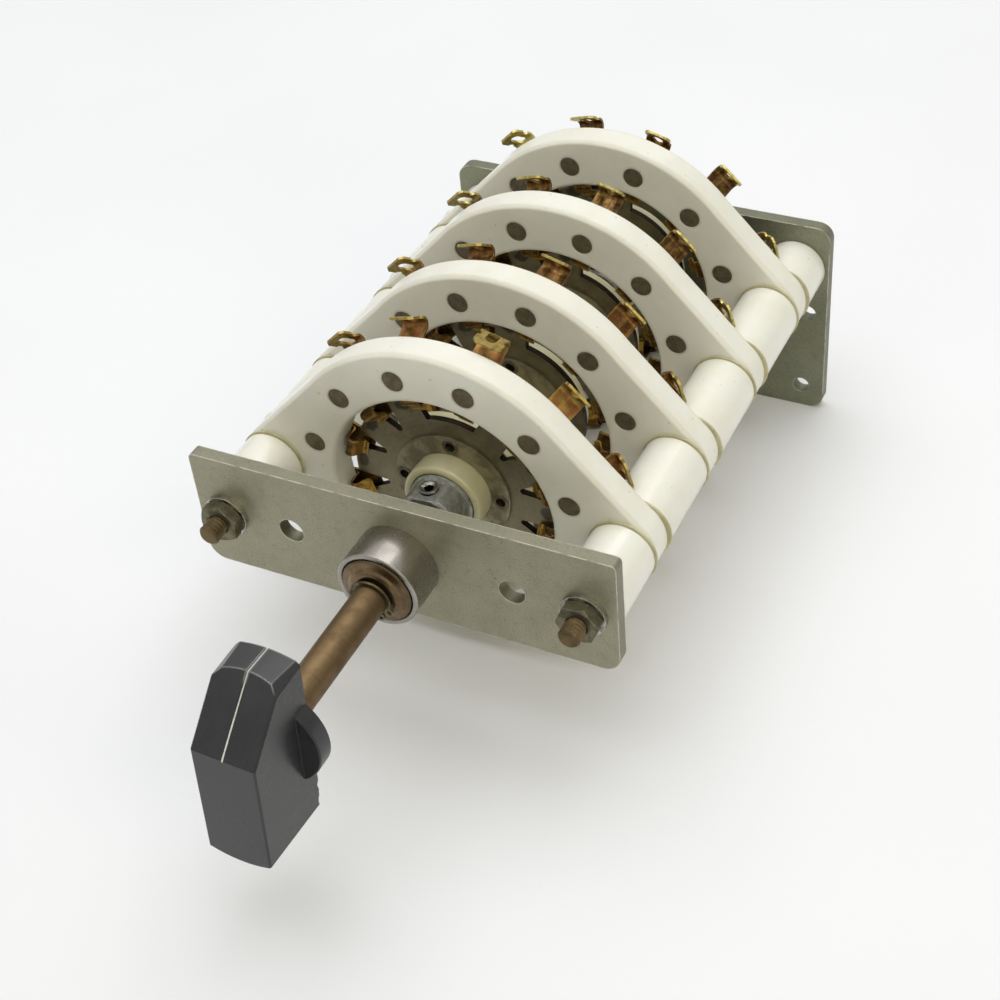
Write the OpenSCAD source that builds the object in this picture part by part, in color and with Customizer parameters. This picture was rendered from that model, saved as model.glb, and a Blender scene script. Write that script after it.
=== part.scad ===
// Rotary switch with four ceramic wafers, double sided contact clips and slotted rotor discs.
// Millimetres. Origin on the shaft axis at the front plate's front face, +Y into the switch, +Z up.

/* [View] */
// piece to build, or all of them

/* [Rotor] */
// turn of knob and rotor, clockwise seen from the knob
rest_turn = 3; // [-14:1:14]

/* [Shaft] */
// radius of the quarter inch shaft
shaft_r = 3.175; // [3.1:0.025:3.2]
// radial running clearance of the shaft in its bearings
bearing_gap = 0.04; // [0.02:0.01:0.08]
// how far the shaft reaches into the knob
shaft_in_knob = 11; // [8:0.5:13]

/* [Plates] */
// thickness of both end plates
plate_t = 2.7; // [2:0.1:3]
// how far the front plate reaches out beyond the tie rods
front_over = 6.2; // [6:0.1:10]
// half height of the front plate
front_half_h = 12.5; // [11:0.5:20]
// corner radius of the front plate's upper corners
front_corner_top = 1; // [0.8:0.1:5]
// corner radius of the front plate's lower corners
front_corner_low = 3.4; // [1:0.1:6]
// distance between the two panel mounting holes
panel_pitch = 44.45; // [36:0.05:50]
// radius of a panel mounting hole
panel_hole_r = 2.5; // [1.5:0.1:3]
// how far the rear plate reaches out beyond the tie rods
rear_over = 7.1; // [6:0.1:12]
// top edge of the rear plate above the axis
rear_top = 10.2; // [9:0.1:20]
// lower edge of the rear plate below the axis
rear_low = 36.1; // [35.5:0.1:45]
// corner radius of the rear plate
rear_corner = 3.2; // [1:0.1:6]
// radius of the rear plate's four mounting holes
rear_hole_r = 1.8; // [1.5:0.1:2.6]
// distance of the upper mounting holes from the rear plate's sides
rear_hole_in = 4.2; // [4:0.1:5.5]
// height of the lower mounting holes above the rear plate's lower edge
rear_hole_up = 5.4; // [4:0.1:8]
// distance between the lower and the upper mounting holes
rear_hole_pitch = 19.4; // [15:0.1:20]

/* [Stack] */
// distance between neighbouring wafers
pitch = 25.4; // [24:0.1:32]
// front plate's back to the first wafer
front_gap = 13.99; // [13.5:0.01:18]
// last wafer's back to the rear plate
rear_gap = 11.25; // [9.5:0.05:16]
// how far the tie rods stand outside the ears' centres
rod_out = 1.8; // [1.4:0.1:2.2]
// radius of a tie rod
rod_r = 2.08; // [1.6:0.02:2.1]
// radial clearance round the tie rods
rod_gap = 0.2; // [0.1:0.05:0.3]
// length of rod that stands out of a nut
rod_tip = 3.3; // [1.5:0.1:6]
// pitch of the rods' thread
thread_pitch = 0.8; // [0.5:0.05:1]
// width of a nut across its flats
nut_af = 7.2; // [7:0.1:8.2]
// thickness of a nut
nut_t = 2.5; // [2:0.1:4]
// radius of a lock washer
lock_r = 4.35; // [3.5:0.05:4.6]
// thickness of a lock washer
lock_t = 1.1; // [0.5:0.1:1.2]
// radius of the ceramic spacers
spacer_r = 6.32; // [5:0.02:6.4]
// radius of the insulating washers
insul_r = 6.6; // [6.4:0.05:7]
// thickness of the insulating washers
insul_t = 0.4; // [0.3:0.05:1]

/* [Wafer] */
// thickness of a wafer
wafer_t = 6.35; // [6.1:0.05:7]
// outer radius of a wafer
wafer_r = 32.6; // [30:0.1:36]
// width of a wafer's ceramic ring between bore and rim
ring_w = 10.1; // [9.9:0.1:10.3]
// bevel of a wafer's outer edges
wafer_edge = 0.7; // [0.2:0.1:1]
// bevel of the bore's edges
bore_edge = 0.4; // [0.2:0.1:0.5]
// radius of the two ears
ear_r = 7.9; // [7.4:0.1:8.4]
// how far the ears' centres lie outside the round rim
ear_out = 1.5; // [1.2:0.1:2]
// width of that recess
recess_w = 7.4; // [6.2:0.1:7.6]
// how far the circle of rivets lies inside the rim
rivet_in = 5.8; // [5.4:0.1:6]
// radius of a rivet's front head
rivet_head_r = 2.1; // [1.7:0.05:2.4]
// radius of a rivet's shank
rivet_shank_r = 1.25; // [1:0.05:1.5]

/* [Contacts] */
// thickness of the terminal strip
term_t = 0.5; // [0.3:0.05:0.6]
// width of the terminal strip
term_w = 5.4; // [4.6:0.1:5.6]
// length of the strip's leg behind the wafer
term_leg = 4.2; // [3.6:0.1:4.6]
// length of the flat solder tab
tab_len = 3.8; // [2.6:0.1:4.2]
// lean of the solder tabs from the radius
tab_lean = 46; // [42:1:50]
// how far the tabs differ from one another
tab_spread = 3; // [0:0.5:4]
// lean of the two tabs that are bent forward
bent_lean = 80; // [70:1:86]
// degrees that the one tab bent upright on the last wafer leans forward
upright_lean = 42; // [30:1:46]
// how much further the tabs just left of the top lean forward
third_extra = 11; // [0:1:16]
// half width of the eye in a solder tab
tab_hole_r = 1.1; // [0.8:0.05:1.3]
// thickness of the front leaf
leaf_t = 0.35; // [0.25:0.01:0.4]
// width of the front leaf
leaf_w = 3.9; // [3.6:0.1:5]
// distance of both leaves from the rotor disc
wipe_gap = 0.2; // [0.1:0.05:0.3]

/* [Rotor discs] */
// gap between a rotor disc and the wafer's bore
disc_room = 2; // [1.8:0.1:2.8]
// thickness of a rotor disc
disc_t = 1.3; // [1.1:0.05:1.4]
// radius where the slots begin
slot_start = 14.2; // [13:0.1:15]
// width of a slot at its round inner end
slot_in_w = 1.2; // [0.8:0.1:1.6]
// width of a slot at the disc's edge
slot_out_w = 4.6; // [3:0.1:5.5]
// radius of the floor between teeth where teeth are left out
gap_floor = 15.3; // [15:0.1:16.5]
// how far the clamp ring reaches beyond the hub's tube
clamp_out = 3.9; // [3.5:0.1:4.7]
// thickness of the clamp ring
clamp_t = 0.4; // [0.3:0.05:0.8]
// distance of the rotor rivets from the hub's tube
eyelet_out = 2; // [1.8:0.1:2.2]
// bore radius of a rotor rivet
eyelet_bore = 1; // [0.5:0.05:1.1]
// outer radius of the hub's front tube
hub_r = 7.9; // [7.7:0.05:8]
// radius of the hub's mouth
hub_mouth = 6.4; // [6:0.05:6.6]
// radius of the hub's flange
flange_r = 14.5; // [13.5:0.1:15]
// thickness of the hub's flange
flange_t = 2.8; // [2:0.1:4]

/* [Knob] */
// width of the knob's bar
bar_w = 11.8; // [10:0.1:14]
// bevel of the bar's long edges
bar_edge = 0.25; // [0.2:0.05:0.8]
// height of the bar's upper end above the shaft
bar_top = 18; // [17:0.1:18.5]
// height at which the upper end's corners are cut at 45 degrees
bar_corner = 16; // [15:0.1:17]
// radius of the knob's round boss
boss_r = 9.7; // [8:0.1:11]
// width of the engraved index line
line_w = 0.4; // [0.3:0.05:1]
// size of the chip out of the bar's rear edge
chip = 1; // [0.6:0.1:1.4]

/* [Housing] */
// outer radius of the bearing housing
house_r = 7.94; // [7.6:0.02:8.4]
// length of the housing before the plate
house_len = 8.16; // [8:0.02:9]
// wall of the housing
house_wall = 1.1; // [0.9:0.05:1.1]
// radius of the circle of detent balls
ball_ring = 4.9; // [4.8:0.05:5]
// radius of a detent ball
ball_r = 1; // [0.8:0.05:1.05]

/* [Hidden] */
$fn = 96;
eps = 0.01;
steps = 12;
step_deg = 360 / steps;
first_deg = step_deg / 2;
wafers = 4;
wafer_bore = wafer_r - ring_w;
rivet_ring = wafer_r - rivet_in;
ear_x = wafer_r + ear_out;
rod_x = ear_x + rod_out;
front_half_w = rod_x + front_over;
rear_half_w = rod_x + rear_over;
disc_r = wafer_bore - disc_room;
rear_y = plate_t + front_gap + (wafers - 1) * pitch + wafer_t + rear_gap;
rear_back = rear_y + plate_t;
gap_t = pitch - wafer_t;
shaft_start = -41 - shaft_in_knob;
shaft_end = rear_back + 1.4;
disc_d = 4.8;
flange_d = disc_d + disc_t;
foot_d = flange_d + wipe_gap - leaf_t;
term_d = foot_d + leaf_t + term_t / 2;
foot_end = rivet_ring + 1.6;
bend_in = 0.8;
bend_out = 1.3;
rivet_hole_r = rivet_shank_r + 0.05;
eyelet_r = eyelet_bore + 0.3;
eyelet_ring = hub_r + eyelet_out;
clamp_r = hub_r + clamp_out;
web_deg = acos((wafer_r - ear_r) / ear_x);
web_len = ear_x * sin(web_deg);
web_in = 0.06;
// angle of the legs in view from the radius, bent by hand, wafer by wafer from right to left
seen_rise = [[60, 60, 72, 80], [75, 90, 90, 65], [72, 78, 94, 65], [72, 126, 100, 65]];
house_in = house_r - house_wall;
floor_y = -1.2;
carrier_y = 1.46 - house_len;
bore_r = shaft_r + bearing_gap;
function wafer_y(i) = plate_t + front_gap + (i - 1) * pitch;
function clip_deg(k) = first_deg + k * step_deg;
function lean(i, k) = k == 2 && i == 1 ? bent_lean : k == 2 && i == 4 ? upright_lean :
    tab_lean + (k == 3 ? third_extra : 0) + tab_spread * sin(137 * k + 71 * i);
function rise(i, k) = k > 0 && k < 5 ? seen_rise[i - 1][k - 1] : 70 + 6 * sin(97 * k + 53 * i);
function leg_start(b) = [foot_end, term_d + bend_in] + bend_in * [sin(b), -cos(b)];
function bend_at(b) = leg_start(b) + term_leg * [cos(b), sin(b)] + bend_out * [sin(b), -cos(b)];
function tab_at(a, b, s) = bend_at(b) + bend_out * [sin(a), cos(a)] + s * [cos(a), -sin(a)];
function inset_corner(p, a, b, e) = p + e * inset_way(a, b);
function inset_way(a, b) = (a + b) / (1 + a * b);
function inward(p, q) = [-(q - p)[1], (q - p)[0]] / norm(q - p);
function arc(c, r, a0, a1) = let (n = ceil(abs(a1 - a0) / 12))
    [for (k = [0 : n]) let (a = a0 + (a1 - a0) * k / n) c + r * [cos(a), sin(a)]];
function side(path, h) = [for (k = [0 : len(path) - 1]) path[k] + h * (
    k == 0 ? inward(path[0], path[1]) :
    k == len(path) - 1 ? inward(path[k - 1], path[k]) :
    inset_way(inward(path[k - 1], path[k]), inward(path[k], path[k + 1])))];
function strip(path, h) = let (low = side(path, -h), n = len(path))
    concat(side(path, h), [for (k = [n - 1 : -1 : 0]) low[k]]);

// a flat shape seen from the front, from y0 for a thickness t
module slab(y0, t) {
    translate([0, y0 + t, 0])
        rotate([90, 0, 0])
            linear_extrude(t)
                children();
}

// a turned shape about the shaft axis, its profile given as radius and y
module turned(points) {
    rotate([-90, 0, 0])
        rotate_extrude()
            polygon(points);
}

// a tube along y
module tube_y(r_out, r_in, y0, t) {
    slab(y0, t)
        difference() {
            circle(r_out);
            circle(r_in);
        }
}

// a rod along y
module rod_y(r, y0, t) {
    slab(y0, t)
        circle(r);
}

// both tie rod positions
module at_rods() {
    for (side = [-1, 1])
        translate([side * rod_x, 0, 0])
            children();
}

// the twelve contact positions, the child lies along +X
module at_clips() {
    for (k = [0 : steps - 1])
        rotate([0, -clip_deg(k), 0])
            children();
}

// what turns with the shaft
module turning() {
    rotate([0, rest_turn, 0])
        children();
}

// plate outline with its own radii above and below
module plate_outline(w, low, high, r_top, r_low) {
    translate([-w, low + r_low])
        square([2 * w, high - low - r_top - r_low]);
    translate([-w + r_low, low])
        square([2 * (w - r_low), r_low + eps]);
    translate([-w + r_top, high - r_top - eps])
        square([2 * (w - r_top), r_top + eps]);
    for (side = [-1, 1]) {
        translate([side * (w - r_top), high - r_top])
            circle(r_top);
        translate([side * (w - r_low), low + r_low])
            circle(r_low);
    }
}

module front_plate() {
    color("#8f9184")
        slab(0, plate_t)
            difference() {
                plate_outline(front_half_w, -front_half_h, front_half_h,
                    front_corner_top, front_corner_low);
                circle(5);
                for (side = [-1, 1]) {
                    translate([side * panel_pitch / 2, 0])
                        circle(panel_hole_r);
                    translate([side * rod_x, 0])
                        circle(rod_r + rod_gap);
                }
            }
}

// cup on the plate's front with a spigot riveted over behind the plate
module bearing_housing() {
    color("#b9b7ac")
        difference() {
            turned([[bore_r, floor_y], [house_in, floor_y], [house_in, -house_len + 0.3],
                [house_in + 0.3, -house_len], [house_r - 0.25, -house_len],
                [house_r, -house_len + 0.25], [house_r, 0], [5, 0], [5, plate_t],
                [5.7, plate_t], [5.4, plate_t + 0.8], [bore_r, plate_t + 0.8]]);
            for (k = [0 : steps - 1])
                rotate([0, k * step_deg + rest_turn, 0])
                    translate([ball_ring, floor_y - 0.45, 0])
                        sphere(ball_r - 0.05, $fn = 48);
        }
}

module cover_disc() {
    color("#6d5440")
        turned([[bore_r, -house_len + 1], [house_in - 0.02, -house_len + 1],
            [house_in - 0.02, -house_len - 0.05], [6.55, -house_len - 0.3],
            [6.1, -house_len - 0.45], [5.7, -house_len - 0.5], [5.3, -house_len - 0.65],
            [4.9, -house_len - 1.05], [4.4, -house_len - 1.32], [3.8, -house_len - 1.46],
            [bore_r, -house_len - 1.5]]);
}

// rod with turned thread grooves at both ends
module tie_rod() {
    turns = 7;
    depth = 0.35;
    y0 = -lock_t - nut_t - rod_tip;
    y1 = rear_back + lock_t + nut_t + rod_tip;
    turned(concat(
        [[0, y0], [rod_r - depth, y0]],
        [for (k = [0 : turns - 1]) each [[rod_r, y0 + (k + 0.5) * thread_pitch],
            [rod_r - depth, y0 + (k + 1) * thread_pitch]]],
        [[rod_r, y0 + (turns + 0.5) * thread_pitch], [rod_r, y1 - (turns + 0.5) * thread_pitch]],
        [for (k = [turns - 1 : -1 : 0]) each [[rod_r - depth, y1 - (k + 1) * thread_pitch],
            [rod_r, y1 - (k + 0.5) * thread_pitch]]],
        [[rod_r - depth, y1], [0, y1]]));
}

module tie_rods() {
    color("#7a6348")
        at_rods()
            tie_rod();
}

// hex nut with both faces bevelled
module nut(y0, spin) {
    corner_r = nut_af / 2 / cos(30);
    intersection() {
        slab(y0, nut_t)
            difference() {
                rotate(spin)
                    circle(corner_r, $fn = 6);
                circle(rod_r + 0.02);
            }
        turned([[0, y0], [nut_af / 2 - 0.1, y0], [corner_r + 0.1, y0 + 0.45],
            [corner_r + 0.1, y0 + nut_t - 0.45], [nut_af / 2 - 0.1, y0 + nut_t],
            [0, y0 + nut_t]]);
    }
}

module front_nuts() {
    color("#6f6b60") {
        translate([rod_x, 0, 0])
            nut(-lock_t - nut_t, 8);
        translate([-rod_x, 0, 0])
            nut(-lock_t - nut_t, 21);
    }
}

module rear_nuts() {
    color("#6f6b60") {
        translate([rod_x, 0, 0])
            nut(rear_back + lock_t, 14);
        translate([-rod_x, 0, 0])
            nut(rear_back + lock_t, 2);
    }
}

// split spring washer
module lock_washer(y0, gap_deg) {
    difference() {
        tube_y(lock_r, rod_r + 0.15, y0, lock_t);
        rotate([0, gap_deg, 12])
            translate([rod_r - 0.5, y0 - 1.5, -0.3])
                cube([lock_r, lock_t + 3, 0.6]);
    }
}

module front_lock_washers() {
    color("#b8b6aa") {
        translate([rod_x, 0, 0])
            lock_washer(-lock_t, 150);
        translate([-rod_x, 0, 0])
            lock_washer(-lock_t, 70);
    }
}

module rear_lock_washers() {
    color("#b8b6aa") {
        translate([rod_x, 0, 0])
            lock_washer(rear_back, 30);
        translate([-rod_x, 0, 0])
            lock_washer(rear_back, 200);
    }
}

// ceramic tube with small bevels
module spacer(y0, t) {
    b = 0.3;
    in_r = rod_r + rod_gap;
    at_rods()
        turned([[in_r, y0], [spacer_r - b, y0], [spacer_r, y0 + b], [spacer_r, y0 + t - b],
            [spacer_r - b, y0 + t], [in_r, y0 + t]]);
}

module front_spacers() {
    color("#f4f2e4")
        spacer(plate_t, front_gap - insul_t);
}

module middle_spacers() {
    color("#f4f2e4")
        for (i = [1 : wafers - 1])
            spacer(wafer_y(i) + wafer_t + insul_t, gap_t - 2 * insul_t);
}

module rear_spacers() {
    color("#f4f2e4")
        spacer(wafer_y(wafers) + wafer_t + insul_t, rear_gap - insul_t);
}

module insulating_washers() {
    color("#a8a382")
        for (i = [1 : wafers])
            at_rods() {
                tube_y(insul_r, rod_r + rod_gap, wafer_y(i) - insul_t, insul_t);
                tube_y(insul_r, rod_r + rod_gap, wafer_y(i) + wafer_t, insul_t);
            }
}

// one bevelled disc of the wafer's blank
module bevelled(r) {
    e = wafer_edge;
    turned([[0, 0], [r - e, 0], [r, e], [r, wafer_t - e], [r - e, wafer_t], [0, wafer_t]]);
}

// bevelled edge along the straight tangent between the disc and an ear
module web_edge(side, up) {
    e = wafer_edge;
    mirror([side < 0 ? 1 : 0, 0, 0])
        mirror([0, 0, up < 0 ? 1 : 0])
            rotate([0, -web_deg, 0])
                translate([wafer_r - web_in, 0, -web_len])
                    linear_extrude(web_len)
                        polygon([[-6, 0], [-e, 0], [0, e], [0, wafer_t - e], [-e, wafer_t],
                            [-6, wafer_t]]);
}

module wafer_blank() {
    w = wafer_r - 3;
    v = ear_r - 3;
    bevelled(wafer_r);
    for (side = [-1, 1]) {
        translate([side * ear_x, 0, 0])
            bevelled(ear_r);
        for (up = [-1, 1])
            web_edge(side, up);
        slab(0, wafer_t)
            polygon([[0, 0], [side * w * cos(web_deg), w * sin(web_deg)],
                [side * (ear_x + v * cos(web_deg)), v * sin(web_deg)],
                [side * (ear_x + v * cos(web_deg)), -v * sin(web_deg)],
                [side * w * cos(web_deg), -w * sin(web_deg)]]);
    }
}

// wafer with its bore, rod holes, rivet seats and a recess behind every contact
module wafer(i) {
    color("#e9e7e2")
        translate([0, wafer_y(i), 0])
            difference() {
                wafer_blank();
                turned([[0, -1], [wafer_bore + bore_edge, -1], [wafer_bore + bore_edge, 0],
                    [wafer_bore, bore_edge], [wafer_bore, wafer_t - bore_edge],
                    [wafer_bore + bore_edge, wafer_t], [wafer_bore + bore_edge, wafer_t + 1],
                    [0, wafer_t + 1]]);
                at_rods()
                    rod_y(rod_r + rod_gap, -1, wafer_t + 2);
                at_clips() {
                    translate([wafer_bore - 1.5, foot_d, -recess_w / 2])
                        cube([ring_w + 3, wafer_t, recess_w]);
                    translate([rivet_ring, 0, 0])
                        turned([[0, -1], [rivet_head_r + 0.05, -1], [rivet_head_r + 0.05, 1.2],
                            [rivet_hole_r, 1.2], [rivet_hole_r, wafer_t], [0, wafer_t]]);
                }
            }
}

// side view of the terminal strip as radius and depth: b leans its leg, a its tab
module terminal_side(a, b) {
    polygon(strip(concat(arc([disc_r - 2.1, term_d + 0.8], 0.8, -150, -90),
        arc([foot_end, term_d + bend_in], bend_in, -90, b - 90),
        arc(bend_at(b), bend_out, 90 + b, 90 - a), [tab_at(a, b, tab_len)]), term_t / 2));
}

// plan of the terminal strip, narrower towards the rotor
module terminal_plan() {
    w = term_w / 2;
    polygon([[disc_r - 4, -1.3], [disc_r - 4, 1.3], [disc_r - 2.5, 1.9], [wafer_bore - 0.5, 2.3],
        [wafer_bore + 2, w], [wafer_r + 6, w], [wafer_r + 6, -w], [wafer_bore + 2, -w],
        [wafer_bore - 0.5, -2.3], [disc_r - 2.5, -1.9]]);
}

// long eye, two side notches and cut corners of a solder tab
module tab_cuts() {
    for (s = [0.2, 1.4])
        translate([s, 0, 0])
            rotate([90, 0, 0])
                cylinder(r = tab_hole_r, h = 2.4, center = true);
    translate([0.2, -1.2, 0.05 - tab_hole_r])
        cube([1.2, 2.4, 2 * tab_hole_r - 0.1]);
    for (side = [-1, 1]) {
        translate([0.7, 0, side * (term_w / 2 + 0.1)])
            rotate([90, 0, 0])
                cylinder(r = 0.7, h = 2.4, center = true);
        translate([tab_len, 0, side * (term_w / 2 + 0.1)])
            rotate([0, 45, 0])
                cube([1.2, 2.4, 1.2], center = true);
    }
}

// terminal strip of one contact
module terminal(a, b) {
    tab = tab_at(a, b, 0);
    difference() {
        intersection() {
            linear_extrude(term_w, center = true)
                terminal_side(a, b);
            slab(0, 16)
                terminal_plan();
        }
        translate([rivet_ring, 0, 0])
            rod_y(rivet_hole_r, 4, 4);
        translate([tab[0], tab[1], 0])
            rotate([0, 0, -a])
                tab_cuts();
    }
}

module terminals(i) {
    color("#a4652f")
        translate([0, wafer_y(i), 0])
            for (k = [0 : steps - 1])
                rotate([0, -clip_deg(k), 0])
                    terminal(lean(i, k), rise(i, k));
}

// side view of the front leaf: foot, leg through the bore, tip on the disc's front
module leaf_side() {
    h = leaf_t / 2;
    foot = foot_d + h;
    polygon(strip(concat([[rivet_ring + 3, foot]], arc([wafer_bore - 0.2, foot - 0.7], 0.7, 90, 180),
        arc([disc_r + 0.1, 3.3], 1, 0, -150),
        arc([disc_r - 2.11, disc_d - wipe_gap - h - 0.6], 0.6, 30, 150)), h));
}

module leaf_plan() {
    w = leaf_w / 2;
    out = rivet_ring + 3.1;
    polygon([[disc_r - 3.5, -1.3], [disc_r - 3.5, 1.3], [disc_r - 2, 1.6], [disc_r + 0.5, w],
        [out - 0.6, w], [out, w - 0.6], [out, 0.6 - w], [out - 0.6, -w], [disc_r + 0.5, -w],
        [disc_r - 2, -1.6]]);
}

module front_leaves(i) {
    color("#9a7a35")
        translate([0, wafer_y(i), 0])
            at_clips()
                difference() {
                    intersection() {
                        linear_extrude(leaf_w, center = true)
                            leaf_side();
                        slab(0, 8)
                            leaf_plan();
                    }
                    translate([rivet_ring, 0, 0])
                        rod_y(rivet_hole_r, 4, 4);
                }
}

// rivets with a flush front head and a low dome behind the terminal
module contact_rivets(i) {
    top = term_d + term_t / 2;
    color("#5b544b")
        translate([0, wafer_y(i), 0])
            at_clips()
                translate([rivet_ring, 0, 0])
                    turned([[0, 0.06], [1.9, 0.06], [rivet_head_r, 0.2], [rivet_head_r, 1.2],
                        [rivet_shank_r, 1.2], [rivet_shank_r, top], [1.9, top],
                        [1.7, top + 0.35], [1.1, top + 0.55], [0, top + 0.6]]);
}

module rear_plate() {
    color("#7a7b6c")
        slab(rear_y, plate_t)
            difference() {
                plate_outline(rear_half_w, -rear_low, rear_top, rear_corner, rear_corner);
                circle(5);
                for (side = [-1, 1]) {
                    translate([side * rod_x, 0])
                        circle(rod_r + rod_gap);
                    translate([side * (rear_half_w - rear_hole_in),
                        rear_hole_up + rear_hole_pitch - rear_low])
                        circle(rear_hole_r);
                    translate([side * (rear_half_w - rear_hole_in - 0.8), rear_hole_up - rear_low])
                        circle(rear_hole_r);
                }
            }
}

module rear_bush() {
    color("#8a6f45")
        turned([[bore_r, rear_y - 1.5], [5.7, rear_y - 1.5], [6.2, rear_y - 1], [6.2, rear_y],
            [5, rear_y], [5, rear_back], [5.6, rear_back], [5.3, rear_back + 0.7],
            [bore_r, rear_back + 0.7]]);
}

// shaft with bevelled ends and the groove of the retaining ring
module shaft() {
    groove = -house_len - 2.05;
    color("#7d6647")
        turned([[0, shaft_start], [shaft_r - 0.5, shaft_start], [shaft_r, shaft_start + 0.5],
            [shaft_r, groove - 0.5], [2.85, groove - 0.5], [2.85, groove], [shaft_r, groove],
            [shaft_r, shaft_end - 0.5], [shaft_r - 0.5, shaft_end], [0, shaft_end]]);
}

// open ring with an eye at each end
module retaining_ring() {
    groove = -house_len - 2.05;
    color("#8d8f8c")
        turning()
            slab(groove - 0.45, 0.4)
                difference() {
                    union() {
                        difference() {
                            circle(4);
                            polygon([[0, 0], 9 * [cos(52), -sin(52)], 9 * [cos(34), -sin(34)]]);
                        }
                        for (a = [-62, -24])
                            translate(3.85 * [cos(a), sin(a)])
                                circle(0.85);
                    }
                    circle(2.9);
                    for (a = [-62, -24])
                        translate(3.95 * [cos(a), sin(a)])
                            circle(0.4);
                }
}

// ball carrier on the shaft inside the housing
module detent_carrier() {
    color("#9a978c")
        turning()
            difference() {
                turned([[shaft_r, carrier_y], [6.1, carrier_y], [6.4, carrier_y + 0.3],
                    [6.4, floor_y - 0.4], [shaft_r, floor_y - 0.4]]);
                for (side = [-1, 1])
                    translate([side * ball_ring, 0, 0])
                        rod_y(ball_r + 0.08, carrier_y + 0.6, -carrier_y);
            }
}

module detent_balls() {
    color("#c9c9c6")
        turning()
            for (side = [-1, 1])
                translate([side * ball_ring, floor_y - 0.05 - ball_r, 0])
                    sphere(ball_r, $fn = 48);
}

// wound springs behind the balls
module detent_springs() {
    wire = 0.32;
    mean = ball_r - 0.22;
    len = floor_y - carrier_y - 2 * ball_r - 0.67;
    turns = 4.5;
    reach = 180 * wire * turns / len;
    color("#8f8f8c")
        turning()
            for (side = [-1, 1])
                translate([side * ball_ring, carrier_y + 0.61, 0])
                    rotate([-90, 0, 0])
                        linear_extrude(len, twist = -360 * turns, slices = 40, $fn = 8)
                            polygon([for (n = [0 : 7]) let (a = 45 * n)
                                (mean + wire / 2 * sin(a))
                                * [cos(reach * cos(a)), sin(reach * cos(a))]]);
}

// side profile of the knob's bar as y and height
bar = [[-40.8, -18.6], [-40.8, 19], [-45.6, 18.9], [-56.5, 7.5], [-57.1, -17]];
bar_turned = [[-40.8, -18.6], [-57.1, -17], [-56.5, 7.5], [-45.6, 18.9], [-40.8, 19]];

// bar with bevelled long edges
module bar_body() {
    n = len(bar);
    inset = [for (k = [0 : n - 1]) let (p = bar[(k + n - 1) % n], q = bar[k], s = bar[(k + 1) % n])
        inset_corner(q, -inward(p, q), -inward(q, s), -bar_edge)];
    rotate([90, 0, 90])
        hull() {
            linear_extrude(bar_w - 2 * bar_edge, center = true)
                polygon(bar);
            linear_extrude(bar_w, center = true)
                polygon(inset);
        }
}

// limits the bar's two ends to turned faces and cuts the upper end's corners
module bar_limit() {
    c = bar_w / 2 + bar_corner;
    intersection() {
        turned([[0, -40.8], [bar_top - 0.4, -40.8], [bar_top, -46.3], [bar_top, -57.2],
            [0, -57.2]]);
        translate([0, -30, 0])
            rotate([90, 0, 0])
                linear_extrude(30)
                    polygon([[-20, 0], [20, 0], [20, c - 20], [0, c], [-20, c - 20]]);
    }
    intersection() {
        turned([[0, -40.8], [18.3, -40.8], [16.9, -57.2], [0, -57.2]]);
        translate([-20, -60, -40])
            cube([40, 30, 40]);
    }
}

// bar knob with its index line, shaft bore, screw hole and the chipped edge
module knob() {
    color("#3a3a3c")
        turning()
            difference() {
                union() {
                    intersection() {
                        bar_body();
                        bar_limit();
                    }
                    turned([[0, -41], [boss_r - 0.3, -41], [boss_r, -41.3], [boss_r, -44.3],
                        [boss_r - 0.2, -44.5], [0, -44.5]]);
                }
                rod_y(shaft_r + 0.02, -41 - shaft_in_knob - 0.5, shaft_in_knob + 1);
                translate([0, -42.9, 0])
                    rotate([0, -90, 0])
                        cylinder(r = 1.75, h = 12);
                rotate([90, 0, 90])
                    linear_extrude(line_w, center = true)
                        polygon([[-40, bar_top - 0.7], [-46.4, bar_top - 0.25],
                            [-56.95, 7.2], [-60, 8], [-60, 20], [-40, 20]]);
                translate([bar_w / 2 + 1.1, -39.6, -12.8])
                    sphere(1.2 + chip);
                translate([bar_w / 2 + 1.3, -39.7, -14.5])
                    sphere(1.1 + chip);
                translate([bar_w / 2 + 1, -39.4, -16.4])
                    sphere(1.6 + chip);
            }
}

// screw with a hex socket, its axis along +Z from r0 to r1
module set_screw(r, r0, r1, socket) {
    difference() {
        translate([0, 0, r0])
            cylinder(r = r, h = r1 - r0);
        translate([0, 0, r1 - 1.4])
            cylinder(r = socket / 2 / cos(30), h = 2, $fn = 6);
        translate([0, 0, r1 - 0.3])
            cylinder(r1 = socket / 2, r2 = r - 0.25, h = 0.31);
    }
}

module knob_set_screw() {
    color("#4c4a46")
        turning()
            translate([0, -42.9, 0])
                rotate([0, -90, 0])
                    set_screw(1.72, shaft_r + 0.02, 8.2, 1.6);
}

// ceramic hub with a front tube and a flange behind the disc
module rotor_hub(i) {
    color("#e4dfc8")
        translate([0, wafer_y(i), 0])
            turning()
                difference() {
                    turned([[hub_mouth, 0.3], [hub_mouth + 0.15, 0.02], [hub_mouth + 0.45, -0.1],
                        [hub_r - 0.6, -0.1], [hub_r - 0.15, 0.12], [hub_r, 0.5],
                        [hub_r, flange_d], [flange_r, flange_d],
                        [flange_r, flange_d + flange_t - 0.5], [flange_r - 0.5, flange_d + flange_t],
                        [shaft_r + 0.3, flange_d + flange_t], [shaft_r + 0.3, 5.6],
                        [hub_mouth, 5.6]]);
                    for (q = [0 : 3])
                        rotate([0, 90 * q, 0])
                            translate([eyelet_ring, 0, 0])
                                rod_y(eyelet_r + 0.03, flange_d - 1, flange_t + 2);
                }
}

// teeth left out of each disc in a row, and the middle of that gap
function gap_teeth(i) = i == 1 ? 1 : 3;
function gap_deg(i) = i == 1 ? 3 * step_deg : step_deg;

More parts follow.
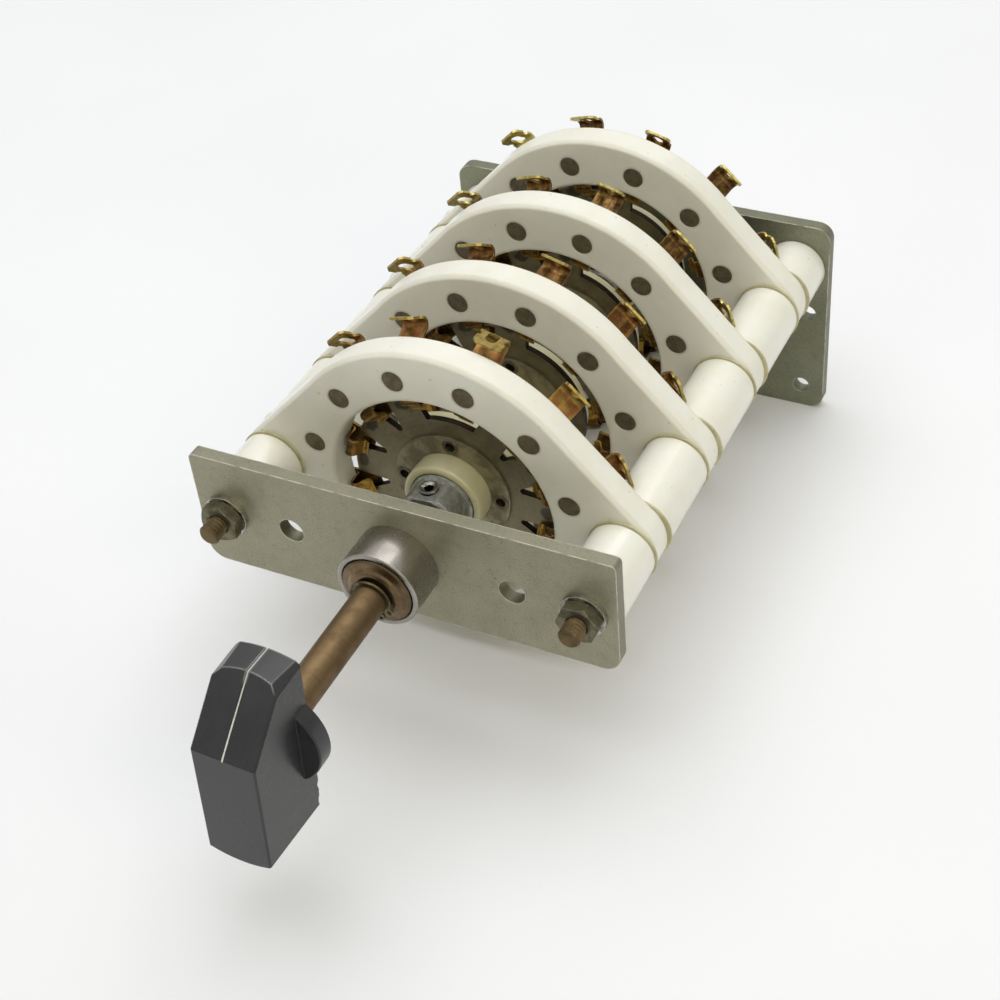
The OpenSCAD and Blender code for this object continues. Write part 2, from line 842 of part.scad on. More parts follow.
// sector about the axis, d degrees to each side
module sector(r, d) {
    polygon([[0, 0], r * [cos(d), -sin(d)], [1.6 * r, 0], r * [cos(d), sin(d)]]);
}

// disc with its slots; where teeth are left out one plain floor joins the flanks beside them
module disc_outline(i) {
    mid = slot_start + slot_in_w / 2;
    half = gap_teeth(i) * first_deg;
    difference() {
        union() {
            difference() {
                circle(disc_r);
                for (k = [0 : steps - 1])
                    rotate(first_deg + k * step_deg) {
                        translate([mid, 0])
                            circle(slot_in_w / 2);
                        polygon([[mid, -slot_in_w / 2], [disc_r, -slot_out_w / 2],
                            [disc_r + 2, -slot_out_w / 2], [disc_r + 2, slot_out_w / 2],
                            [disc_r, slot_out_w / 2], [mid, slot_in_w / 2]]);
                    }
                rotate(gap_deg(i))
                    sector(disc_r + 6, half);
            }
            rotate(gap_deg(i))
                intersection() {
                    circle(gap_floor);
                    sector(disc_r + 6, half + 4);
                }
        }
        circle(hub_r + 0.1);
        for (q = [0 : 3])
            rotate(90 * q)
                translate([eyelet_ring, 0])
                    circle(eyelet_r + 0.03);
    }
}

module rotor_disc(i) {
    color("#5c584c")
        translate([0, wafer_y(i), 0])
            turning()
                slab(disc_d, disc_t)
                    disc_outline(i);
}

module clamp_ring(i) {
    color("#8f8b7d")
        translate([0, wafer_y(i), 0])
            turning()
                slab(disc_d - clamp_t, clamp_t)
                    difference() {
                        circle(clamp_r);
                        circle(hub_r + 0.1);
                        for (q = [0 : 3])
                            rotate(90 * q)
                                translate([eyelet_ring, 0])
                                    circle(eyelet_r + 0.03);
                    }
}

// tubular rivets through ring, disc and flange
module rotor_rivets(i) {
    y0 = disc_d - clamp_t;
    y1 = flange_d + flange_t;
    color("#8a8371")
        translate([0, wafer_y(i), 0])
            turning()
                for (q = [0 : 3])
                    rotate([0, 90 * q, 0])
                        translate([eyelet_ring, 0, 0])
                            turned([[eyelet_bore, y0 - 0.18], [eyelet_r + 0.2, y0 - 0.18],
                                [eyelet_r + 0.35, y0 - 0.05], [eyelet_r + 0.35, y0],
                                [eyelet_r, y0], [eyelet_r, y1], [eyelet_r + 0.35, y1],
                                [eyelet_r + 0.25, y1 + 0.25], [eyelet_bore, y1 + 0.25]]);
}

// die cast collar, flat above and below, that drives the hub from the shaft
module drive_collar(i) {
    color("#6f7270")
        translate([0, wafer_y(i), 0])
            turning()
                difference() {
                    union() {
                        turned([[shaft_r + 0.02, -0.6], [5.5, -0.6], [hub_mouth - 0.1, 0],
                            [hub_mouth - 0.1, 5.5], [shaft_r + 0.02, 5.5]]);
                        intersection() {
                            turned([[shaft_r + 0.02, -6], [5.4, -6], [5.9, -5.5], [5.9, 0],
                                [shaft_r + 0.02, 0]]);
                            rotate([0, -8, 0])
                                translate([-8, -7, -5.3])
                                    cube([16, 9, 10.6]);
                        }
                    }
                    rotate([0, -8, 0])
                        translate([0, -2.9, 0])
                            cylinder(r = 1.8, h = 9);
                }
}

module collar_set_screws() {
    color("#a5a49c")
        for (i = [1 : wafers])
            translate([0, wafer_y(i), 0])
                turning()
                    rotate([0, -8, 0])
                        translate([0, -2.9, 0])
                            set_screw(1.75, shaft_r + 0.02, 6, 1.7);
}

front_plate();
bearing_housing();
cover_disc();
tie_rods();
front_nuts();
front_lock_washers();
rear_nuts();
rear_lock_washers();
front_spacers();
middle_spacers();
rear_spacers();
insulating_washers();
wafer(1);  // wafer_1
wafer(2);  // wafer_2
wafer(3);  // wafer_3
wafer(4);  // wafer_4
terminals(1);  // terminals_1
terminals(2);  // terminals_2
terminals(3);  // terminals_3
terminals(4);  // terminals_4
front_leaves(1);  // front_leaves_1
front_leaves(2);  // front_leaves_2
front_leaves(3);  // front_leaves_3
front_leaves(4);  // front_leaves_4
contact_rivets(1);  // contact_rivets_1
contact_rivets(2);  // contact_rivets_2
contact_rivets(3);  // contact_rivets_3
contact_rivets(4);  // contact_rivets_4
rear_plate();
rear_bush();
shaft();
knob();
knob_set_screw();
retaining_ring();
detent_carrier();
detent_balls();
detent_springs();
rotor_hub(1);  // rotor_hub_1
rotor_hub(2);  // rotor_hub_2
rotor_hub(3);  // rotor_hub_3
rotor_hub(4);  // rotor_hub_4
rotor_disc(1);  // rotor_disc_1
rotor_disc(2);  // rotor_disc_2
rotor_disc(3);  // rotor_disc_3
rotor_disc(4);  // rotor_disc_4
clamp_ring(1);  // clamp_ring_1
clamp_ring(2);  // clamp_ring_2
clamp_ring(3);  // clamp_ring_3
clamp_ring(4);  // clamp_ring_4
rotor_rivets(1);  // rotor_rivets_1
rotor_rivets(2);  // rotor_rivets_2
rotor_rivets(3);  // rotor_rivets_3
rotor_rivets(4);  // rotor_rivets_4
drive_collar(1);  // drive_collar_1
drive_collar(2);  // drive_collar_2
drive_collar(3);  // drive_collar_3
drive_collar(4);  // drive_collar_4
collar_set_screws();
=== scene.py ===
"""Looks, light and camera for the ceramic wafer switch.

Lengths in comments are millimetres; the scene itself is in metres, in the part's own frame:
origin on the shaft axis at the front plate's face, +Y into the switch, +Z up.
"""
import math

import bpy
from mathutils import Matrix, Vector

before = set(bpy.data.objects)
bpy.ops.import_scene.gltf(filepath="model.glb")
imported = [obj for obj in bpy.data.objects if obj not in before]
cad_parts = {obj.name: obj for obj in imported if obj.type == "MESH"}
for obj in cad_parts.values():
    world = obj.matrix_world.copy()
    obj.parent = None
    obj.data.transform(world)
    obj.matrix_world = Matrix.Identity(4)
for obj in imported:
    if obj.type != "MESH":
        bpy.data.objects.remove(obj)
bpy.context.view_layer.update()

MM = 0.001
ROD_X = 35.9            # tie rods either side of the shaft
FIRST_WAFER_Y = 16.69   # front face of the first wafer
PITCH = 25.4            # from wafer to wafer
REST_TURN = 3           # degrees, knob and rotor, clockwise seen from the knob
CONTACT_STEP = 30       # degrees from contact to contact
FLOOR_Z = -36.1         # lower edge of the rear plate
FLOOR_HALF = 3.0        # metres, half the side of the paper
LENS = 1.77458          # focal length, in widths of the picture


def srgb(code):
    """A hex colour as the linear RGBA that shaders take."""
    parts = [int(code[k:k + 2], 16) / 255 for k in (1, 3, 5)]
    return [c / 12.92 if c <= 0.04045 else ((c + 0.055) / 1.055) ** 2.4 for c in parts] + [1.0]


def put(tree, kind, inputs=None, out=0, **settings):
    """Adds a node with its settings; each input is a plain value or the socket that feeds it.

    Several sockets of a Mix node share a name, so they go by number: its colours are inputs 6
    and 7, and their mix is output 2.
    """
    node = tree.nodes.new("ShaderNode" + kind)
    for key, value in settings.items():
        setattr(node, key, value)
    for key, value in (inputs or {}).items():
        if isinstance(value, bpy.types.NodeSocket):
            tree.links.new(value, node.inputs[key])
        else:
            node.inputs[key].default_value = value
    return node.outputs[out] if node.outputs else node


class Surface:
    """One surface as it is finished: its material, its place in mm and its colour so far."""

    def __init__(self, name, colour, **shader):
        self.material = bpy.data.materials.new(name)
        self.material.use_nodes = True
        self.tree = self.material.node_tree
        self.tree.nodes.clear()
        self.colour = srgb(colour)
        skin = put(self.tree, "BsdfPrincipled", shader)
        self.shader = skin.node
        self.output = put(self.tree, "OutputMaterial", {"Surface": skin})
        place = put(self.tree, "TexCoord", out="Object")
        self.mm = put(self.tree, "VectorMath", {0: place, 1: (1000, 1000, 1000)},
                      operation="MULTIPLY")

    def patches(self, size, low, high, detail=3, rough=0.55, where=None):
        """1 in patches about `size` mm across; a higher low..high makes fewer and sharper ones."""
        cloud = put(self.tree, "TexNoise", {"Vector": where or self.mm, "Scale": 1 / size,
                                            "Detail": detail, "Roughness": rough})
        return put(self.tree, "MapRange", {"Value": cloud, "From Min": low, "From Max": high},
                   interpolation_type="SMOOTHSTEP")

    def tint(self, mask, amount, colour):
        """Lays a colour over what is there, as strongly as the mask says, `amount` at most."""
        factor = put(self.tree, "Math", {0: mask, 1: amount}, operation="MULTIPLY")
        self.colour = put(self.tree, "Mix", {0: factor, 6: self.colour, 7: srgb(colour)}, 2,
                          data_type="RGBA")

    def rubbed(self, radius, sharp=0.995, soft=0.9):
        """1 on edges that a rounding of `radius` mm would take off, 0 on flats."""
        eased = put(self.tree, "Bevel", {"Radius": radius * MM}, samples=4)
        plain = put(self.tree, "NewGeometry", out="Normal")
        same = put(self.tree, "VectorMath", {0: eased, 1: plain}, "Value",
                   operation="DOT_PRODUCT")
        return put(self.tree, "MapRange", {"Value": same, "From Min": soft, "From Max": sharp,
                                           "To Min": 1.0, "To Max": 0.0})

    def turned(self, rod_x=0.0):
        """Distance from the shaft or the nearest tie rod, and the lathe's coordinates there."""
        x, y, z = put(self.tree, "SeparateXYZ", {0: self.mm}).node.outputs
        beside = put(self.tree, "Math", {0: x}, operation="ABSOLUTE")
        across = put(self.tree, "Math", {0: beside, 1: rod_x}, operation="SUBTRACT")
        flat = put(self.tree, "CombineXYZ", {0: across, 2: z})
        radius = put(self.tree, "VectorMath", {0: flat}, "Value", operation="LENGTH")
        angle = put(self.tree, "Math", {0: z, 1: across}, operation="ARCTAN2")
        # a turned mark runs round with the tool, so the angle counts for little
        slow = put(self.tree, "Math", {0: angle, 1: 0.35}, operation="MULTIPLY")
        return radius, put(self.tree, "CombineXYZ", {0: radius, 1: y, 2: slow})

    def walls(self):
        """1 on the edges and hole walls of a part flat across the shaft, 0 on its faces."""
        normal = put(self.tree, "NewGeometry", out="Normal")
        facing = put(self.tree, "SeparateXYZ", {0: normal}, "Y")
        flat = put(self.tree, "Math", {0: facing}, operation="ABSOLUTE")
        return put(self.tree, "MapRange", {"Value": flat, "From Min": 0.3, "From Max": 0.7,
                                           "To Min": 1.0, "To Max": 0.0})

    def finish(self, sheen, gloss, dull, relief=None, depth=0.02, edge=0.12):
        """Gloss to dull roughness by the sheen mask, relief `depth` mm deep, edges eased by
        `edge` mm."""
        rough = put(self.tree, "MapRange", {"Value": sheen, "To Min": gloss, "To Max": dull})
        normal = put(self.tree, "Bevel", {"Radius": edge * MM}, samples=4)
        if relief:
            normal = put(self.tree, "Bump", {"Height": relief, "Normal": normal,
                                             "Distance": depth * MM})
        for key, socket in (("Base Color", self.colour), ("Roughness", rough), ("Normal", normal)):
            self.tree.links.new(socket, self.shader.inputs[key])
        return self.material


def dress(material, *names):
    """Gives CAD nodes their finish."""
    for name in names:
        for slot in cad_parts[name].material_slots:
            slot.material = material


def each(stem):
    """The four nodes of one kind, one a wafer."""
    return ["%s_%d" % (stem, k) for k in (1, 2, 3, 4)]


def punched_plate(name, base, dark, light):
    """Zinc plated sheet steel, sheared and punched, gone dull: a grey green skin, cloudy in
    patches of some mm, with swarms of fine dark pits; the sheared edges are duller, their
    corners rubbed bright and painted brighter still as the highlight that they catch."""
    s = Surface(name, base, Metallic=0.8)
    cloud = s.patches(7, 0.32, 0.68, 4)
    # real pits are a tenth of a mm; drawn at 0.5 so that they show, and they come in swarms
    pits = put(s.tree, "Math", {0: s.patches(0.5, 0.6, 0.68, 2, 0.7),
                                1: s.patches(6, 0.4, 0.66, 2)}, operation="MULTIPLY")
    s.tint(cloud, 0.9, light)
    s.tint(s.patches(2.2, 0.52, 0.72), 0.15, dark)
    s.tint(s.patches(0.35, 0.5, 0.7, 2), 0.32, dark)
    s.tint(pits, 0.95, dark)
    s.tint(s.patches(0.4, 0.6, 0.75, 2), 0.3, "#bdbba8")
    s.tint(s.walls(), 0.45, dark)
    # edges rubbed bright, with a painted highlight laid along them
    wear_and_highlight = put(s.tree, "Math", {0: s.rubbed(0.35), 1: s.patches(3, 0.3, 0.55)},
               operation="MULTIPLY")
    s.tint(wear_and_highlight, 0.9, "#e4e1cd")
    return s.finish(cloud, 0.44, 0.6, pits, -0.012, 0.2)


def turned_metal(name, base, dark, light, gloss, rod_x=0.0, tarnish=0.6, shade_from=None):
    """Metal turned on a lathe: faint rings follow the tool over metal that has darkened in clouds;
    the rings catch a little light and the clouds stay dull. A painted shade may darken it from a
    radius out, as in a groove against the part around it."""
    s = Surface(name, base, Metallic=1.0)
    radius, lathe = s.turned(rod_x)
    # the real feed is under a tenth of a mm; drawn at 0.25 so that it shows
    rings = s.patches(0.25, 0.35, 0.65, 2, 0.6, lathe)
    cloud = s.patches(3.5, 0.42, 0.68, 4, 0.6)
    s.tint(rings, 0.14, light)
    s.tint(cloud, tarnish, dark)
    s.tint(s.patches(1.1, 0.55, 0.75, 4, 0.65), 0.3, dark)
    s.tint(s.rubbed(0.15), 0.4, light)
    if shade_from:
        groove_shade = put(s.tree, "MapRange", {"Value": radius, "From Min": shade_from,
                                           "From Max": shade_from + 0.7})
        # painted shade, darker from that radius out
        s.tint(groove_shade, 0.85, "#4a4738")
    return s.finish(cloud, gloss, gloss + 0.16, rings, 0.0015, 0.12)


def drawn_cup():
    """Nickel plated brass, drawn and polished: smooth silver with long faint draw lines along
    its axis, painted lighter as streaks of sheen, a trace of warm grey haze and a bright lip."""
    s = Surface("nickel_plated_brass_drawn", "#99948d", Metallic=1.0)
    squeezed = put(s.tree, "VectorMath", {0: s.mm, 1: (1, 0.06, 1)}, operation="MULTIPLY")
    draws_and_sheen = s.patches(0.45, 0.3, 0.7, 3, 0.6, squeezed)
    haze = s.patches(4, 0.35, 0.7)
    # the draw lines are painted lighter, as streaks of painted sheen along the axis
    s.tint(draws_and_sheen, 0.3, "#b2ada5")
    s.tint(haze, 0.3, "#7e7972")
    s.tint(s.rubbed(0.15), 0.5, "#c9cabd")
    return s.finish(haze, 0.24, 0.32, draws_and_sheen, 0.0008, 0.12)


def small_metal(name, base, dark, light, gloss=0.4, metallic=1.0, blotch=1.6, tarnish=0.9):
    """Small stamped, formed or cast parts: tarnish in patches about `blotch` mm across, a fine
    grain, and corners rubbed brighter."""
    s = Surface(name, base, Metallic=metallic)
    cloud = s.patches(blotch, 0.38, 0.62, 4, 0.6)
    s.tint(cloud, tarnish, dark)
    s.tint(s.rubbed(0.15), 0.55, light)
    return s.finish(cloud, gloss, gloss + 0.2, s.patches(0.3, 0.3, 0.7, 2), 0.008, 0.12)


def socket_screw():
    """Turned steel set screws with a hexagon socket: a bright rim, and painted shade, nearly
    black, inside the socket."""
    s = Surface("steel_socket_screw", "#a5a39b", Metallic=1.0)
    cloud = s.patches(1.6, 0.38, 0.62, 4, 0.6)
    s.tint(cloud, 0.9, "#7b7972")
    s.tint(s.rubbed(0.15), 0.5, "#dcdbd3")
    # the screws end 6 mm from the shaft's axis; nearer than 5.6 mm only their sockets show
    radius = s.turned()[0]
    socket_shade = put(s.tree, "MapRange", {"Value": radius, "From Min": 5.6, "From Max": 5.75,
                                     "To Min": 1.0, "To Max": 0.0})
    # painted shade: the sockets are darkened nearly black
    s.tint(socket_shade, 0.97, "#14120f")
    return s.finish(cloud, 0.22, 0.42, s.patches(0.3, 0.3, 0.7, 2), 0.008, 0.12)


def fired_ceramic(name, base, shade, glaze, edge, dull=0.44):
    """Steatite, pressed dry and fired: a matt to satin body that lets a little light in, warmer
    where it turns at an edge, with a faint mottle and a rare brown speck."""
    body = {"Metallic": 0.0, "IOR": 1.55, "Subsurface Weight": 0.3,
            "Subsurface Radius": (1.0, 0.85, 0.5), "Subsurface Scale": 0.8 * MM,
            "Coat Weight": glaze, "Coat Roughness": 0.12}
    s = Surface(name, base, **body)
    s.shader.subsurface_method = "RANDOM_WALK"
    cloud = s.patches(9, 0.35, 0.7)
    s.tint(cloud, 0.7, shade)
    s.tint(s.rubbed(edge, 0.99, 0.86), 0.45, "#dcd4ae")
    s.tint(s.patches(0.9, 0.77, 0.81, 1, 0.4), 0.42, "#a08f68")
    return s.finish(cloud, 0.32, dull, s.patches(0.6, 0.2, 0.8), 0.012, edge)


def contact_metal(s, lathe, fingers):
    """What all contact strips share: a tarnish film in patches, faint streaks along the strip
    from its rolling, and rubbed brassy edges."""
    # the strips point away from the shaft, so a streak keeps its angle; real ones are finer
    rolled = put(s.tree, "VectorMath", {0: lathe, 1: (0.2, 0.2, 85)}, operation="MULTIPLY")
    s.tint(s.patches(0.7, 0.42, 0.62, 3, 0.6, rolled), 0.4, "#ab863c")
    streak = s.patches(0.9, 0.45, 0.7, 4, 0.65)
    s.tint(s.patches(1.3, 0.5, 0.66), 0.3, "#8f7d3c")
    s.tint(streak, 0.6, fingers)
    s.tint(s.rubbed(0.1, 0.99, 0.86), 0.75, "#cabb76")
    return s.finish(streak, 0.3, 0.46, s.patches(0.35, 0.3, 0.7), 0.008, 0.1)


def terminal_strip():
    """Spring bronze strip, blanked, bent and tarnished: brassy at the fingers that wipe the
    rotor, copper brown on the leg, brassy again on the solder tab."""
    s = Surface("spring_bronze_strip_tarnished", "#8d7438", Metallic=0.75)
    x, y, _ = put(s.tree, "SeparateXYZ", {0: s.mm}).node.outputs
    radius, lathe = s.turned()
    behind = put(s.tree, "Math", {0: y, 1: FIRST_WAFER_Y}, operation="SUBTRACT")
    local = put(s.tree, "Math", {0: behind, 1: PITCH}, operation="MODULO")
    # the leg leans out as it rises, so the tint's border leans with it
    leg = put(s.tree, "Math", {0: local, 1: -0.58, 2: 3.8}, operation="MULTIPLY_ADD")
    # the ragged border would cross the left tabs of the last wafer, so it is 1.8 mm lower there
    last = put(s.tree, "MapRange", {"Value": y, "From Min": 86, "From Max": 88, "To Max": 1.8})
    left = put(s.tree, "Math", {0: x, 1: 13}, operation="LESS_THAN")
    level = put(s.tree, "Math", {0: last, 1: left, 2: radius}, operation="MULTIPLY_ADD")
    along = put(s.tree, "Math", {0: level, 1: leg}, operation="ADD")
    ragged = put(s.tree, "Math", {0: s.patches(1.8, 0.2, 0.8), 1: 1.4, 2: along},
                 operation="MULTIPLY_ADD")
    # towards the rear the legs are darker and the tabs paler
    rear = put(s.tree, "MapRange", {"Value": y, "From Min": 45, "From Max": 72})
    # foot, leg and tab begin at these distances from the shaft
    for start, end, colour, rear_colour in ((18.5, 20.5, "#6d5029", "#5f4727"),
                                            (26, 28, "#7a4d28", "#553823"),
                                            (29.6, 30.8, "#a99452", "#c6b972")):
        reach = put(s.tree, "MapRange", {"Value": ragged, "From Min": start, "From Max": end})
        s.tint(reach, 1.0, colour)
        s.tint(put(s.tree, "Math", {0: reach, 1: rear}, operation="MULTIPLY"), 1.0, rear_colour)
    return contact_metal(s, lathe, "#4b351b")


def leaf_strip():
    """Spring brass strip of the front leaves: bright at the wiping tip, brown at the root."""
    s = Surface("spring_brass_leaf_tarnished", "#a5823c", Metallic=1.0)
    radius, lathe = s.turned()
    ragged = put(s.tree, "Math", {0: s.patches(1.8, 0.2, 0.8), 1: 1.2, 2: radius},
                 operation="MULTIPLY_ADD")
    root = put(s.tree, "MapRange", {"Value": ragged, "From Min": 19.6, "From Max": 21.2})
    s.tint(root, 1.0, "#664728")
    return contact_metal(s, lathe, "#4b351b")


def rotor_silvering():
    """Silver plated brass, blanked: tarnished to a warm grey brown with faint wiping tracks,
    and a dark oval in each place where the clips rest."""
    s = Surface("silver_plated_brass_blanked_tarnished", "#827a63", Metallic=1.0)
    x, _, z = put(s.tree, "SeparateXYZ", {0: s.mm}).node.outputs
    radius, lathe = s.turned()
    # the place within one step of the contacts, which stand half a step off the rest turn
    half_step = CONTACT_STEP / 2
    angle = put(s.tree, "Math", {0: z, 1: x}, operation="ARCTAN2")
    turn = put(s.tree, "Math", {0: angle, 1: 180 / math.pi, 2: 360 + REST_TURN + half_step},
               operation="MULTIPLY_ADD")
    in_step = put(s.tree, "Math", {0: turn, 1: CONTACT_STEP}, operation="MODULO")
    # ovals in a ring round the shaft: its radius, their half height, half width in degrees
    ring, half_height, half_width = 19, 1.15, 5.2
    aside = put(s.tree, "Math", {0: in_step, 1: 1 / half_width, 2: -half_step / half_width},
                operation="MULTIPLY_ADD")
    out = put(s.tree, "Math", {0: radius, 1: 1 / half_height, 2: -ring / half_height},
              operation="MULTIPLY_ADD")
    spot = put(s.tree, "CombineXYZ", {0: aside, 1: out})
    oval = put(s.tree, "VectorMath", {0: spot}, "Value", operation="LENGTH")
    smudge = put(s.tree, "Math", {0: s.patches(1.1, 0.2, 0.8), 1: 0.35, 2: oval},
                 operation="MULTIPLY_ADD")
    soot = put(s.tree, "MapRange", {"Value": smudge, "From Min": 1.0, "From Max": 1.35,
                                    "To Min": 1.0, "To Max": 0.0})
    cloud = s.patches(2.6, 0.35, 0.65, 4, 0.6)
    track = s.patches(0.35, 0.45, 0.65, 2, 0.6, lathe)
    s.tint(cloud, 0.9, "#938b74")
    s.tint(track, 0.14, "#9b9581")
    s.tint(s.patches(0.8, 0.5, 0.75, 4, 0.65), 0.35, "#4d4838")
    s.tint(soot, 0.7, "#2f2a28")
    # the blanked edges and slot walls are tinted nearly black
    s.tint(s.walls(), 0.97, "#170f08")
    return s.finish(cloud, 0.38, 0.55, track, 0.002, 0.08)


def phenolic_bar():
    """Black phenolic, compression moulded and handled for years: a charcoal skin with a soft
    bloom and a fine flow mottle, edges darkened with painted shade, pale edges at the upper end
    that are rubbed by fingers and carry a painted highlight, and cream paint in its engraved
    index line."""
    s = Surface("black_phenolic_moulded", "#202022", Metallic=0.0, IOR=1.5)
    lean = math.radians(REST_TURN)
    across, up = (math.cos(lean), 0, -math.sin(lean)), (math.sin(lean), 0, math.cos(lean))
    side = put(s.tree, "VectorMath", {0: s.mm, 1: across}, "Value", operation="DOT_PRODUCT")
    high = put(s.tree, "VectorMath", {0: s.mm, 1: up}, "Value", operation="DOT_PRODUCT")
    beside = put(s.tree, "Math", {0: side}, operation="ABSOLUTE")
    ragged = put(s.tree, "Math", {0: s.patches(0.7, 0.2, 0.8), 1: 0.06, 2: beside},
                 operation="MULTIPLY_ADD")
    groove = put(s.tree, "MapRange", {"Value": ragged, "From Min": 0.13, "From Max": 0.19,
                                      "To Min": 1.0, "To Max": 0.0})
    upper = put(s.tree, "MapRange", {"Value": high, "From Min": 7.1, "From Max": 7.4})
    bloom = s.patches(5, 0.2, 0.8, 2)
    s.tint(bloom, 0.8, "#2d2d30")
    s.tint(s.patches(0.35, 0.6, 0.8, 3, 0.7), 0.35, "#5c5b5a")
    rim = s.rubbed(0.45)
    # painted shade: every edge is darkened
    s.tint(rim, 0.85, "#0b0b0c")
    # fingers push on the upper end, so its edges are the most rubbed; they are also painted pale,
    # as a painted highlight from the light above
    top = put(s.tree, "MapRange", {"Value": high, "From Min": 16.3, "From Max": 17})
    s.tint(put(s.tree, "Math", {0: rim, 1: top}, operation="MULTIPLY"), 0.85, "#a9a8a3")
    s.tint(put(s.tree, "Math", {0: groove, 1: upper}, operation="MULTIPLY"), 1.0, "#e2e0d4")
    return s.finish(bloom, 0.24, 0.34, s.patches(0.8, 0.2, 0.8), 0.002, 0.25)


def olive_washers():
    """Fabric filled phenolic sheet, punched into washers: a dull pale olive with faint plies."""
    s = Surface("phenolic_laminate_punched", "#d2ccaa", Metallic=0.0, IOR=1.5)
    cloud = s.patches(3, 0.35, 0.65)
    ply = s.patches(0.3, 0.5, 0.7, 2)
    s.tint(cloud, 0.9, "#bfb88f")
    s.tint(ply, 0.3, "#938c66")
    return s.finish(cloud, 0.5, 0.65, ply, 0.01, 0.1)


dress(punched_plate("zinc_plated_steel_punched", "#98967f", "#605e51", "#a9a691"), "front_plate")
dress(punched_plate("zinc_plated_steel_punched_dark", "#8a8b76", "#5c5d4e", "#989986"),
      "rear_plate")
dress(drawn_cup(), "bearing_housing")
# the cover disc carries painted shade from 6.2 mm out, where it meets the housing's wall
dress(turned_metal("bronze_turned_oxidised", "#705e47", "#4c4131", "#aa8c5b", 0.25,
                   shade_from=6.2), "cover_disc")
dress(turned_metal("bronze_bush_turned", "#70583b", "#453723", "#a9854c", 0.3), "rear_bush")
dress(turned_metal("brass_shaft_turned_tarnished", "#735f45", "#5c4b37", "#8a7452", 0.46,
                   tarnish=0.35), "shaft")
dress(turned_metal("brass_rod_threaded_tarnished", "#69593f", "#463a2a", "#8a7b52", 0.4, ROD_X),
      "tie_rods")
dress(small_metal("plated_steel_nut_dull", "#77725c", "#55503f", "#a39f8c", 0.42, tarnish=0.7),
      "front_nuts", "rear_nuts")
dress(small_metal("spring_steel_plated_bright", "#bdbbb0", "#8b887c", "#efeee6", 0.26),
      "front_lock_washers", "rear_lock_washers")
dress(small_metal("spring_steel_ring_browned", "#6a644a", "#433e30", "#a39c78", 0.32),
      "retaining_ring")
dress(small_metal("brass_rivet_tarnished", "#766d57", "#5e5645", "#867e6b", 0.5, 0.6,
                  tarnish=0.6), *each("contact_rivets"))
dress(small_metal("black_oxide_screw", "#3d3b38", "#22211f", "#6e6b65", 0.4), "knob_set_screw")
dress(socket_screw(), "collar_set_screws")
dress(small_metal("zinc_alloy_die_cast", "#b1b1aa", "#84857f", "#cfcfc8", 0.36, 0.8, 1.4),
      *each("drive_collar"))
dress(small_metal("plated_brass_ring_tarnished", "#a39b82", "#746e58", "#b0aa94", 0.42, 0.7,
                  4.0, 0.8), *each("clamp_ring"))
dress(small_metal("brass_eyelet_tarnished", "#7a7562", "#5c5646", "#958f7c", 0.42, tarnish=0.6),
      *each("rotor_rivets"))
dress(small_metal("steel_detent_parts", "#9a978c", "#6c695f", "#cfcdc4", 0.28), "detent_carrier",
      "detent_balls", "detent_springs")
dress(fired_ceramic("steatite_pressed_white", "#f6f4e8", "#edeadb", 0.0, 0.8), *each("wafer"))
dress(fired_ceramic("steatite_glazed_cream", "#f4f2e6", "#ede9d8", 0.6, 0.3), "front_spacers",
      "middle_spacers", "rear_spacers")
dress(fired_ceramic("steatite_hub_cream", "#dfd9b4", "#cbc597", 0.25, 0.3), *each("rotor_hub"))
dress(olive_washers(), "insulating_washers")
dress(terminal_strip(), *each("terminals"))
dress(leaf_strip(), *each("front_leaves"))
dress(rotor_silvering(), *each("rotor_disc"))
dress(phenolic_bar(), "knob")


def paper_sweep():
    """Matt white background paper: an even white that takes the soft shadow, and that runs
    into the white of the room behind it 300 to 600 mm from the switch."""
    s = Surface("white_background_paper", "#fafafc", Metallic=0.0)
    fibre = s.patches(120, 0.3, 0.7, 2)
    s.tint(fibre, 1.0, "#fdfdff")
    away = put(s.tree, "VectorMath", {0: s.mm}, "Value", operation="LENGTH")
    far = put(s.tree, "MapRange", {"Value": away, "From Min": 300, "From Max": 600},
              interpolation_type="SMOOTHSTEP")
    by_lens = put(s.tree, "LightPath", out="Is Camera Ray")
    seen = put(s.tree, "Math", {0: far, 1: by_lens}, operation="MULTIPLY")
    white = put(s.tree, "Emission", {"Color": srgb("#f4f4f4"), "Strength": 1.0})
    faded = put(s.tree, "MixShader", {0: seen, 1: s.shader.outputs["BSDF"], 2: white})
    s.tree.links.new(faded, s.output.inputs["Surface"])
    return s.finish(fibre, 0.85, 0.95)


mesh = bpy.data.meshes.new("floor_sheet")
corners = [(-1, -1), (1, -1), (1, 1), (-1, 1)]
mesh.from_pydata([(a * FLOOR_HALF, b * FLOOR_HALF, 0) for a, b in corners], [], [(0, 1, 2, 3)])
floor = bpy.data.objects.new("floor_sheet", mesh)
bpy.context.scene.collection.objects.link(floor)
floor.location.z = (FLOOR_Z - 0.02) * MM  # just clear of the switch
floor.data.materials.append(paper_sweep())

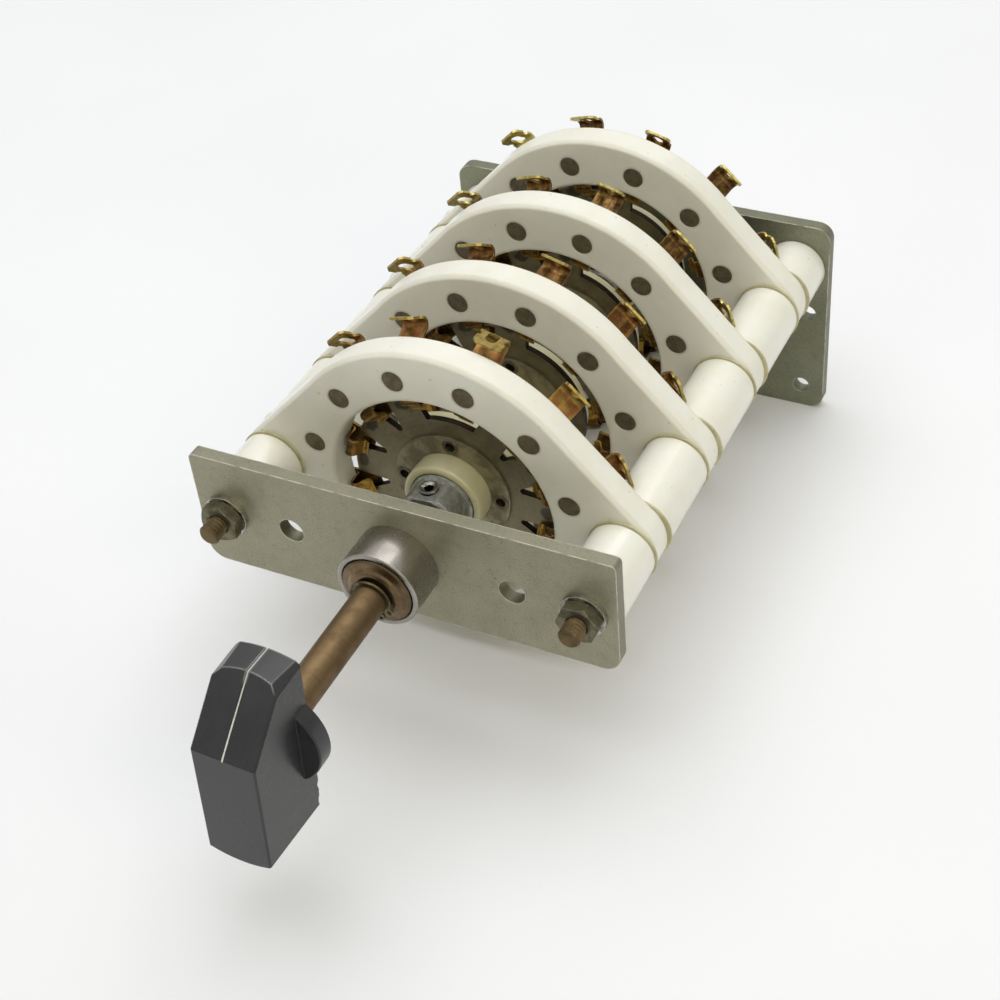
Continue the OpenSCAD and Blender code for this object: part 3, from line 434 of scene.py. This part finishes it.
# a white room: its ceiling is brighter than its walls, and the walls a little warmer
world = bpy.data.worlds.new("white_room")
bpy.context.scene.world = world
world.use_nodes = True
sky = world.node_tree
sky.nodes.clear()
rays = put(sky, "LightPath").node.outputs
toward = put(sky, "SeparateXYZ", {0: put(sky, "TexCoord", out="Generated")}, "Z")
ceiling = put(sky, "MapRange", {"Value": toward, "From Min": 0.0, "From Max": 0.8,
                                "To Min": 0.24, "To Max": 0.5})
gleam = put(sky, "MapRange", {"Value": toward, "From Min": 0.0, "From Max": 0.8,
                              "To Min": 0.6, "To Max": 1.0})
paint = put(sky, "MapRange", {"Value": toward, "From Min": 0.1, "From Max": 0.6})
wall = put(sky, "Mix", {0: paint, 6: srgb("#ebe7c4"), 7: srgb("#f5f5f2")}, 2,
           data_type="RGBA")
fill = put(sky, "Background", {"Color": wall, "Strength": ceiling})
mirrored = put(sky, "Background", {"Color": srgb("#f6f6f2"), "Strength": gleam})
seen = put(sky, "Background", {"Color": srgb("#f4f4f4"), "Strength": 1.0})
for_gloss = put(sky, "MixShader", {0: rays["Is Glossy Ray"], 1: fill, 2: mirrored})
for_lens = put(sky, "MixShader", {0: rays["Is Camera Ray"], 1: for_gloss, 2: seen})
put(sky, "OutputWorld", {"Surface": for_lens})


def soft_box(name, watts, size, where, colour, target=(0, 0.04, 0)):
    """A square soft box that faces the switch."""
    light = bpy.data.lights.new(name, "AREA")
    light.energy = watts
    light.size = size
    light.color = srgb(colour)[:3]
    stand = bpy.data.objects.new(name, light)
    bpy.context.scene.collection.objects.link(stand)
    stand.location = where
    stand.rotation_euler = (Vector(target) - Vector(where)).to_track_quat("-Z", "Y").to_euler()


soft_box("overhead_box", 5.6, 1.0, (-0.06, 0.15, 0.8), "#f9fbff")
soft_box("front_box", 1.03, 0.5, (0.6, -0.38, 0.5), "#fbf3ce")

# the camera stands where the photograph's perspective puts it
camera = bpy.data.objects.new("camera", bpy.data.cameras.new("camera"))
bpy.context.scene.collection.objects.link(camera)
camera.data.lens = LENS * camera.data.sensor_width
camera.data.clip_start = 0.01
camera.data.clip_end = 20
right = Vector((0.89757, 0.43381, -0.07858))
down = Vector((0.23247, -0.61715, -0.75172))
ahead = Vector((-0.37460, 0.65645, -0.65479))
turn = Matrix((right, -down, -ahead)).transposed().to_4x4()
camera.matrix_world = Matrix.Translation((0.13121, -0.19179, 0.21232)) @ turn
bpy.context.scene.camera = camera
bpy.context.scene.view_settings.view_transform = "Standard"
